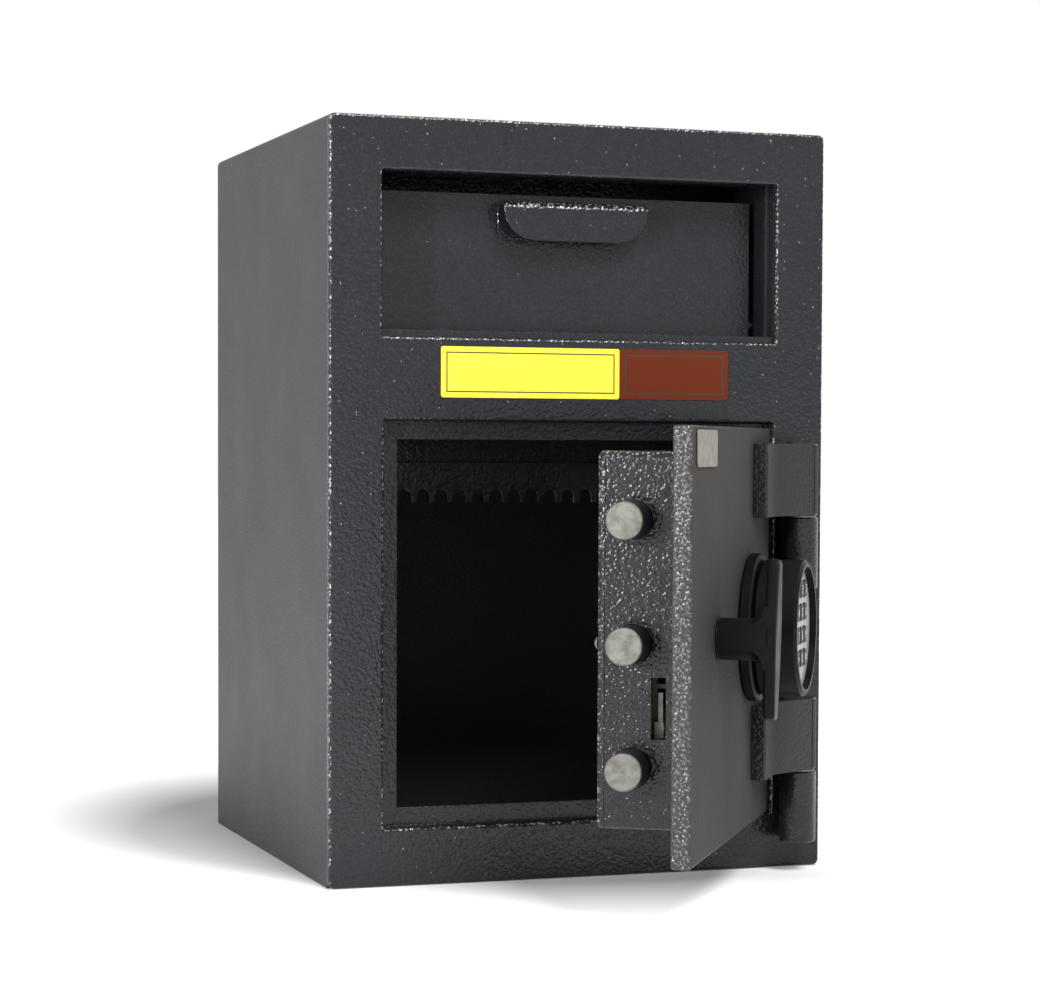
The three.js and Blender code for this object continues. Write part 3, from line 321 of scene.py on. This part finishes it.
def finish_from(name, group, values, metallic=0.0, sheen_level=0.5):
    """A material whose colour, roughness and relief come from one of the groups above."""
    material = bpy.data.materials.new(name)
    material.use_nodes = True
    graph = Graph(material.node_tree)
    shader = material.node_tree.nodes["Principled BSDF"]
    effect = graph.add("ShaderNodeGroup", {"node_tree": group.tree})
    for label, value in values.items():
        effect.inputs[label].default_value = value
    graph.feed(shader, "Base Color", effect.outputs["Colour"])
    graph.feed(shader, "Roughness", effect.outputs["Roughness"])
    graph.feed(shader, "Normal", effect.outputs["Normal"])
    if "Painted Edge Highlight" in values:
        graph.feed(shader, "Metallic", effect.outputs["Metallic"])
    else:
        shader.inputs["Metallic"].default_value = metallic
    shader.inputs["Specular IOR Level"].default_value = sheen_level
    return material


def rgb(red, green, blue):
    """A colour given as it looks on a screen, 0 to 255."""
    parts = [channel / 255 for channel in (red, green, blue)]
    linear = [p / 12.92 if p <= 0.04045 else ((p + 0.055) / 1.055) ** 2.4 for p in parts]
    return (*linear, 1)


cabinet_paint = finish_from(
    "cabinet_paint",
    coat,
    {
        "Colour": rgb(30, 31, 35),
        "Painted Top Highlight Colour": rgb(42, 43, 47),
        "Relief": 1.4,
        "Roughness": 0.24,
    },
    sheen_level=0.3,
)
front_paint = finish_from(
    "front_paint",
    coat,
    {
        "Colour": rgb(31, 32, 36),
        "Painted Top Highlight Colour": rgb(44, 45, 49),
        "Relief": 1.8,
        "Roughness": 0.16,
        "Droplets": 0.4,
        "Painted Droplet Highlight": 0.35,
        "Painted Edge Highlight": 0.55,
        "Face": (0, -1, 0),
        "Face Painted Reflection Colour": rgb(32, 33, 37),
    },
    sheen_level=0.3,
)
shell_paint = finish_from(
    "shell_paint",
    coat,
    {
        "Colour": rgb(50, 50, 52),
        "Painted Top Highlight Colour": rgb(62, 62, 64),
        "Pebbles per Metre": 620.0,
        "Droplets": 0.1,
        "Relief": 1.6,
        "Roughness": 0.5,
    },
    sheen_level=0.22,
)
# The door's and the straps' face colours are painted: darker than their edges and warm on the
# door, a painted reflection and painted shade for their sheen.
door_paint = finish_from(
    "door_paint",
    coat,
    {
        "Colour": rgb(44, 44, 46),
        "Painted Top Highlight Colour": rgb(60, 59, 58),
        "Pebbles per Metre": 500.0,
        "Relief": 2.8,
        "Roughness": 0.14,
        "Painted Edge Highlight": 0.12,
        "Edge Start": -0.3,
        "Face": DOOR_FRONT,
        "Face Roughness": 0.6,
        "Face Painted Reflection Colour": rgb(36, 34, 32),
    },
    sheen_level=0.35,
)
strap_paint = finish_from(
    "strap_paint",
    coat,
    {
        "Colour": rgb(34, 34, 36),
        "Painted Top Highlight Colour": rgb(48, 48, 50),
        "Relief": 1.8,
        "Roughness": 0.16,
        "Face": DOOR_FRONT,
        "Face Roughness": 0.4,
        "Face Painted Reflection Colour": rgb(30, 30, 32),
    },
    sheen_level=0.25,
)
box_paint = finish_from(
    "box_paint",
    coat,
    {
        "Colour": rgb(27, 27, 31),
        "Painted Top Highlight Colour": rgb(42, 42, 45),
        "Relief": 1.8,
        "Roughness": 0.13,
        "Droplets": 0.6,
        "Painted Edge Highlight": 0.4,
        "Face": DOOR_FREE_EDGE,
        "Face Painted Reflection Colour": rgb(28, 28, 32),
    },
    sheen_level=0.3,
)
bolt_steel = finish_from(
    "bolt_steel",
    metal,
    {
        "Colour": rgb(114, 113, 107),
        "Stain": rgb(84, 82, 76),
        "Stain Amount": 0.7,
        "Roughness": 0.58,
        "End": BOLT_LENGTH,
        "Shaft Painted Reflection Colour": rgb(62, 63, 66),
        "Shaft Painted Reflection Amount": 1.0,
    },
    metallic=0.9,
)


def plain_metal(name, colour, stain, stain_amount, roughness, metallic):
    values = {
        "Colour": colour,
        "Stain": stain,
        "Stain Amount": stain_amount,
        "Roughness": roughness,
    }
    return finish_from(name, metal, values, metallic=metallic)


pin_steel = plain_metal("pin_steel", rgb(120, 119, 114), rgb(84, 82, 77), 0.5, 0.45, 0.9)
bright_pin = plain_metal("bright_pin", rgb(214, 214, 204), rgb(170, 170, 158), 0.4, 0.5, 0.7)
dark_pin = plain_metal("dark_pin", rgb(44, 44, 46), rgb(30, 30, 31), 0.5, 0.5, 0.9)
zinc = plain_metal("zinc_plate", rgb(120, 120, 116), rgb(84, 82, 78), 0.6, 0.5, 0.9)
badge_metal = plain_metal("badge_metal", rgb(138, 133, 124), rgb(104, 99, 91), 0.5, 0.42, 0.8)

yellow_enamel = finish_from(
    "yellow_enamel",
    grain,
    {
        "Colour": rgb(236, 217, 62),
        "Grains per Metre": 900.0,
        "Relief": 0.08,
        "Roughness": 0.42,
    },
)
brown_enamel = finish_from(
    "brown_enamel",
    grain,
    {
        "Colour": rgb(92, 36, 12),
        "Grains per Metre": 900.0,
        "Relief": 0.08,
        "Roughness": 0.55,
    },
    sheen_level=0.15,
)
line_ink = finish_from("line_ink", grain, {"Colour": rgb(34, 30, 26), "Roughness": 0.5})
black_plastic = finish_from(
    "black_plastic",
    grain,
    {"Colour": rgb(12, 11, 10), "Relief": 0.25, "Roughness": 0.4},
    sheen_level=0.11,
)
silver_plastic = finish_from(
    "silver_plastic",
    grain,
    {
        "Colour": rgb(176, 178, 180),
        "Speckle Colour": rgb(110, 112, 115),
        "Speckle Amount": 0.6,
        "Roughness": 0.4,
    },
    metallic=0.3,
)
key_rubber = finish_from(
    "key_rubber", grain, {"Colour": rgb(26, 26, 27), "Relief": 0.15, "Roughness": 0.55}
)
numeral_ink = finish_from(
    "numeral_ink", grain, {"Colour": rgb(225, 225, 222), "Roughness": 0.5}
)


WELD_REACH = 0.002 * MM
FLAT_WITHIN = math.radians(0.5)


def dress(names, material, edge=0.5 * MM, steps=2, limit=30):
    """Gives CAD nodes their finish, with edges softened where they turn past the limit."""
    for name in names:
        node = nodes[name]
        mesh = node.data
        mesh.materials.clear()
        mesh.materials.append(material)
        if "custom_normal" in mesh.attributes:
            mesh.attributes.remove(mesh.attributes["custom_normal"])
        mesh.polygons.foreach_set("use_smooth", [True] * len(mesh.polygons))
        join = node.modifiers.new("joined", "WELD")
        join.merge_threshold = WELD_REACH
        plain = node.modifiers.new("plain faces", "DECIMATE")
        plain.decimate_type = "DISSOLVE"
        plain.angle_limit = FLAT_WITHIN
        soft = node.modifiers.new("soft edges", "BEVEL")
        soft.width = edge
        soft.segments = steps
        soft.limit_method = "ANGLE"
        soft.angle_limit = math.radians(limit)
        soft.use_clamp_overlap = True
        even = node.modifiers.new("even shading", "WEIGHTED_NORMAL")
        even.keep_sharp = False


dress(("cabinet_wrap", "base_plate", "back_plate"), shell_paint)
dress(
    (
        "stop_frame",
        "bolt_keeper",
        "head_deck",
        "roof_baffle",
        "throat_liner",
        "anti_fish_comb",
        "hopper_panel",
        "hopper_tray",
        "hopper_cheek_left",
        "hopper_cheek_right",
        "knuckle_fixed_lower",
        "knuckle_fixed_upper",
    ),
    cabinet_paint,
)
dress(("front_plate",), front_paint, edge=1.4 * MM, steps=3, limit=40)
dress(("pull_handle",), front_paint)
dress(("bolt_box", "box_cover", "dead_bar"), box_paint, edge=0.9 * MM)
dress(("hinge_strap_lower", "hinge_strap_upper"), strap_paint, edge=0.7 * MM)
dress(("door_slab",), door_paint, edge=0.6 * MM)
dress(("guide_bar", "carriage_bar", "lock_body", "spindle_cam"), zinc, edge=0.3 * MM)
dress(("bolt_lower", "bolt_middle", "bolt_upper"), bolt_steel)
dress(
    (
        "cover_screw_left",
        "cover_screw_right",
        "hinge_pin_lower",
        "hinge_pin_upper",
        "hinge_washer_lower",
        "hinge_washer_upper",
    ),
    pin_steel,
    edge=0.25 * MM,
)
dress(("lock_pin",), bright_pin, edge=0.25 * MM)
dress(("hopper_pin_left", "hopper_pin_right"), dark_pin, edge=0.25 * MM)
dress(("badge_plate",), badge_metal, edge=0.2 * MM)
dress(("yellow_plate",), yellow_enamel, edge=0.15 * MM)
dress(("brown_plate",), brown_enamel, edge=0.15 * MM)
dress(
    ("t_handle", "handle_collar", "keypad_base", "keypad_housing"),
    black_plastic,
    edge=0.6 * MM,
    steps=3,
)
dress(("key_face",), silver_plastic, edge=0.2 * MM)

key_names = ["1", "2", "3", "4", "5", "6", "7", "8", "9", "star", "0", "hash"]
key_signs = {"star": "*", "hash": "#"}
dress([f"key_{name}" for name in key_names], key_rubber, edge=0.3 * MM)


def new_piece(name, mesh, material, body):
    piece = bpy.data.objects.new(name, mesh)
    scene.collection.objects.link(piece)
    mesh.materials.clear()
    mesh.materials.append(material)
    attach(piece, body)


BORDER_INSET = 3.6 * MM
BORDER_WIDTH = 0.8 * MM
BORDER_PROUD = 0.03 * MM
BORDER_SUNK = 0.02 * MM


def printed_border(name, node):
    """A thin raised line that runs round a label plate, inset from its edge."""
    low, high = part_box(node)
    front = low.y - BORDER_PROUD
    back = low.y + BORDER_SUNK
    bm = bmesh.new()
    loops = []
    for shrink in (BORDER_INSET, BORDER_INSET + BORDER_WIDTH):
        for y in (front, back):
            corners = [
                (low.x + shrink, y, low.z + shrink),
                (high.x - shrink, y, low.z + shrink),
                (high.x - shrink, y, high.z - shrink),
                (low.x + shrink, y, high.z - shrink),
            ]
            loops.append([bm.verts.new(c) for c in corners])
    outer_front, outer_back, inner_front, inner_back = loops
    for first, second in (
        (outer_front, inner_front),
        (inner_front, inner_back),
        (inner_back, outer_back),
        (outer_back, outer_front),
    ):
        for i in range(4):
            j = (i + 1) % 4
            bm.faces.new((first[i], first[j], second[j], second[i]))
    bmesh.ops.recalc_face_normals(bm, faces=bm.faces)
    mesh = bpy.data.meshes.new(name)
    bm.to_mesh(mesh)
    bm.free()
    new_piece(name, mesh, line_ink, "cabinet")


printed_border("yellow_border", "yellow_plate")
printed_border("brown_border", "brown_plate")

# Numerals moulded on the keys, a touch proud of the rubber
NUMERAL_SIZE = 8.2 * MM
NUMERAL_PROUD = 0.06 * MM

for name in key_names:
    low, high = shut_box(f"key_{name}")
    curve = bpy.data.curves.new(f"numeral_{name}", "FONT")
    curve.body = key_signs.get(name, name)
    curve.size = NUMERAL_SIZE
    curve.align_x = "CENTER"
    curve.align_y = "CENTER"
    curve.extrude = NUMERAL_PROUD
    curve.resolution_u = 3
    lettering = bpy.data.objects.new("lettering", curve)
    scene.collection.objects.link(lettering)
    bpy.context.view_layer.update()
    shaped = lettering.evaluated_get(bpy.context.evaluated_depsgraph_get())
    mesh = bpy.data.meshes.new_from_object(shaped)
    bpy.data.objects.remove(lettering)
    xs = [v.co.x for v in mesh.vertices]
    ys = [v.co.y for v in mesh.vertices]
    middle = Vector(((min(xs) + max(xs)) / 2, (min(ys) + max(ys)) / 2, 0))
    centre = (low + high) / 2
    mesh.transform(Matrix.Translation(-middle))
    mesh.transform(Matrix.Rotation(math.radians(90), 4, "X"))
    mesh.transform(Matrix.Translation((centre.x, low.y, centre.z)))
    mesh.transform(DOOR)
    new_piece(f"numeral_{name}", mesh, numeral_ink, f"key_{name}")


# Floor. It keeps the safe's shadow nearby and glows white farther out. To the right of the
# safe a weaker glow lifts the shadow without hiding it.
FLOOR_REACH = 14.0
FLOOR_DROP = 0.3 * MM
GLOW_CENTRE = (0.05, 0.1, 0.0)
GLOW_FROM, GLOW_FULL = 0.295, 0.5
RIGHT_FROM, RIGHT_FULL, RIGHT_GLOW = 0.1, 0.22, 0.4

floor_mesh = bpy.data.meshes.new("studio_floor")
floor_mesh.from_pydata(
    [
        (-FLOOR_REACH, -FLOOR_REACH, 0),
        (FLOOR_REACH, -FLOOR_REACH, 0),
        (FLOOR_REACH, FLOOR_REACH, 0),
        (-FLOOR_REACH, FLOOR_REACH, 0),
    ],
    [],
    [(0, 1, 2, 3)],
)
floor = bpy.data.objects.new("studio_floor", floor_mesh)
scene.collection.objects.link(floor)
floor.location.z = -FLOOR_DROP
floor_white = bpy.data.materials.new("floor_white")
floor_white.use_nodes = True
ground = Graph(floor_white.node_tree)
shader = floor_white.node_tree.nodes["Principled BSDF"]
shader.inputs["Base Color"].default_value = (0.9, 0.9, 0.9, 1)
shader.inputs["Roughness"].default_value = 0.9
shader.inputs["Specular IOR Level"].default_value = 0.0
shader.inputs["Emission Color"].default_value = (1, 1, 1, 1)
spot = ground.add("ShaderNodeTexCoord").outputs["Object"]
away = ground.vector("DISTANCE", spot, GLOW_CENTRE).outputs["Value"]
across = ground.add("ShaderNodeSeparateXYZ", Vector=spot).outputs["X"]
glow = ground.math(
    "MAXIMUM",
    ground.span(away, GLOW_FROM, GLOW_FULL),
    ground.span(across, RIGHT_FROM, RIGHT_FULL, 0.0, RIGHT_GLOW),
)
ground.feed(shader, "Emission Strength", ground.times(glow, ground.seen()))
floor_mesh.materials.append(floor_white)

# White room: full white to the eye and in reflections, dim as a light
ROOM_LIGHT = 0.22

world = bpy.data.worlds.new("studio")
scene.world = world
world.use_nodes = True
sky = Graph(world.node_tree)
background = world.node_tree.nodes["Background"]
background.inputs["Color"].default_value = (1, 1, 1, 1)
sky.feed(background, "Strength", sky.span(sky.seen(), 0.0, 1.0, ROOM_LIGHT, 1.0))


def soft_light(name, place, target, size, power):
    lamp = bpy.data.lights.new(name, "AREA")
    lamp.shape = "RECTANGLE"
    lamp.size, lamp.size_y = size
    lamp.energy = power
    holder = bpy.data.objects.new(name, lamp)
    scene.collection.objects.link(holder)
    holder.location = place
    aim = Vector(target) - Vector(place)
    holder.rotation_mode = "QUATERNION"
    holder.rotation_quaternion = aim.to_track_quat("-Z", "Y")


soft_light("front_panel", (0.35, -2.2, 2.45), (0, 0, 0.2), (1.0, 1.0), 86)
soft_light("left_panel", (-1.75, -1.85, 0.95), (0, -0.2, 0.2), (1.1, 1.1), 7.5)
soft_light("left_strip", (-1.9, -1.4, 0.72), (0, -0.3, 0.25), (0.12, 0.9), 36)

# Camera as the photograph was taken; its lens and shifts are given in the photograph's pixels
PHOTO_WIDTH = 1040
LENS_PIXELS = 2774.3
SHIFT_PIXELS = (-80, 60)

camera_data = bpy.data.cameras.new("camera")
camera = bpy.data.objects.new("camera", camera_data)
scene.collection.objects.link(camera)
scene.camera = camera
side = Vector((0.93941153, -0.34275391, 0.00507393))
above = Vector((0.00931518, 0.04032156, 0.99914333))
ahead = Vector((0.34266487, 0.93855950, -0.04107136))
turn = Matrix((side, above, -ahead)).transposed()
stand_point = Matrix.Translation((-0.6336458, -1.9396294, 0.2933064))
camera.matrix_world = stand_point @ turn.to_4x4()
camera_data.sensor_width = 36.0
camera_data.lens = LENS_PIXELS / PHOTO_WIDTH * camera_data.sensor_width
camera_data.shift_x = SHIFT_PIXELS[0] / PHOTO_WIDTH
camera_data.shift_y = SHIFT_PIXELS[1] / PHOTO_WIDTH
camera_data.clip_start = 0.05
camera_data.clip_end = 60

scene.view_settings.view_transform = "Standard"
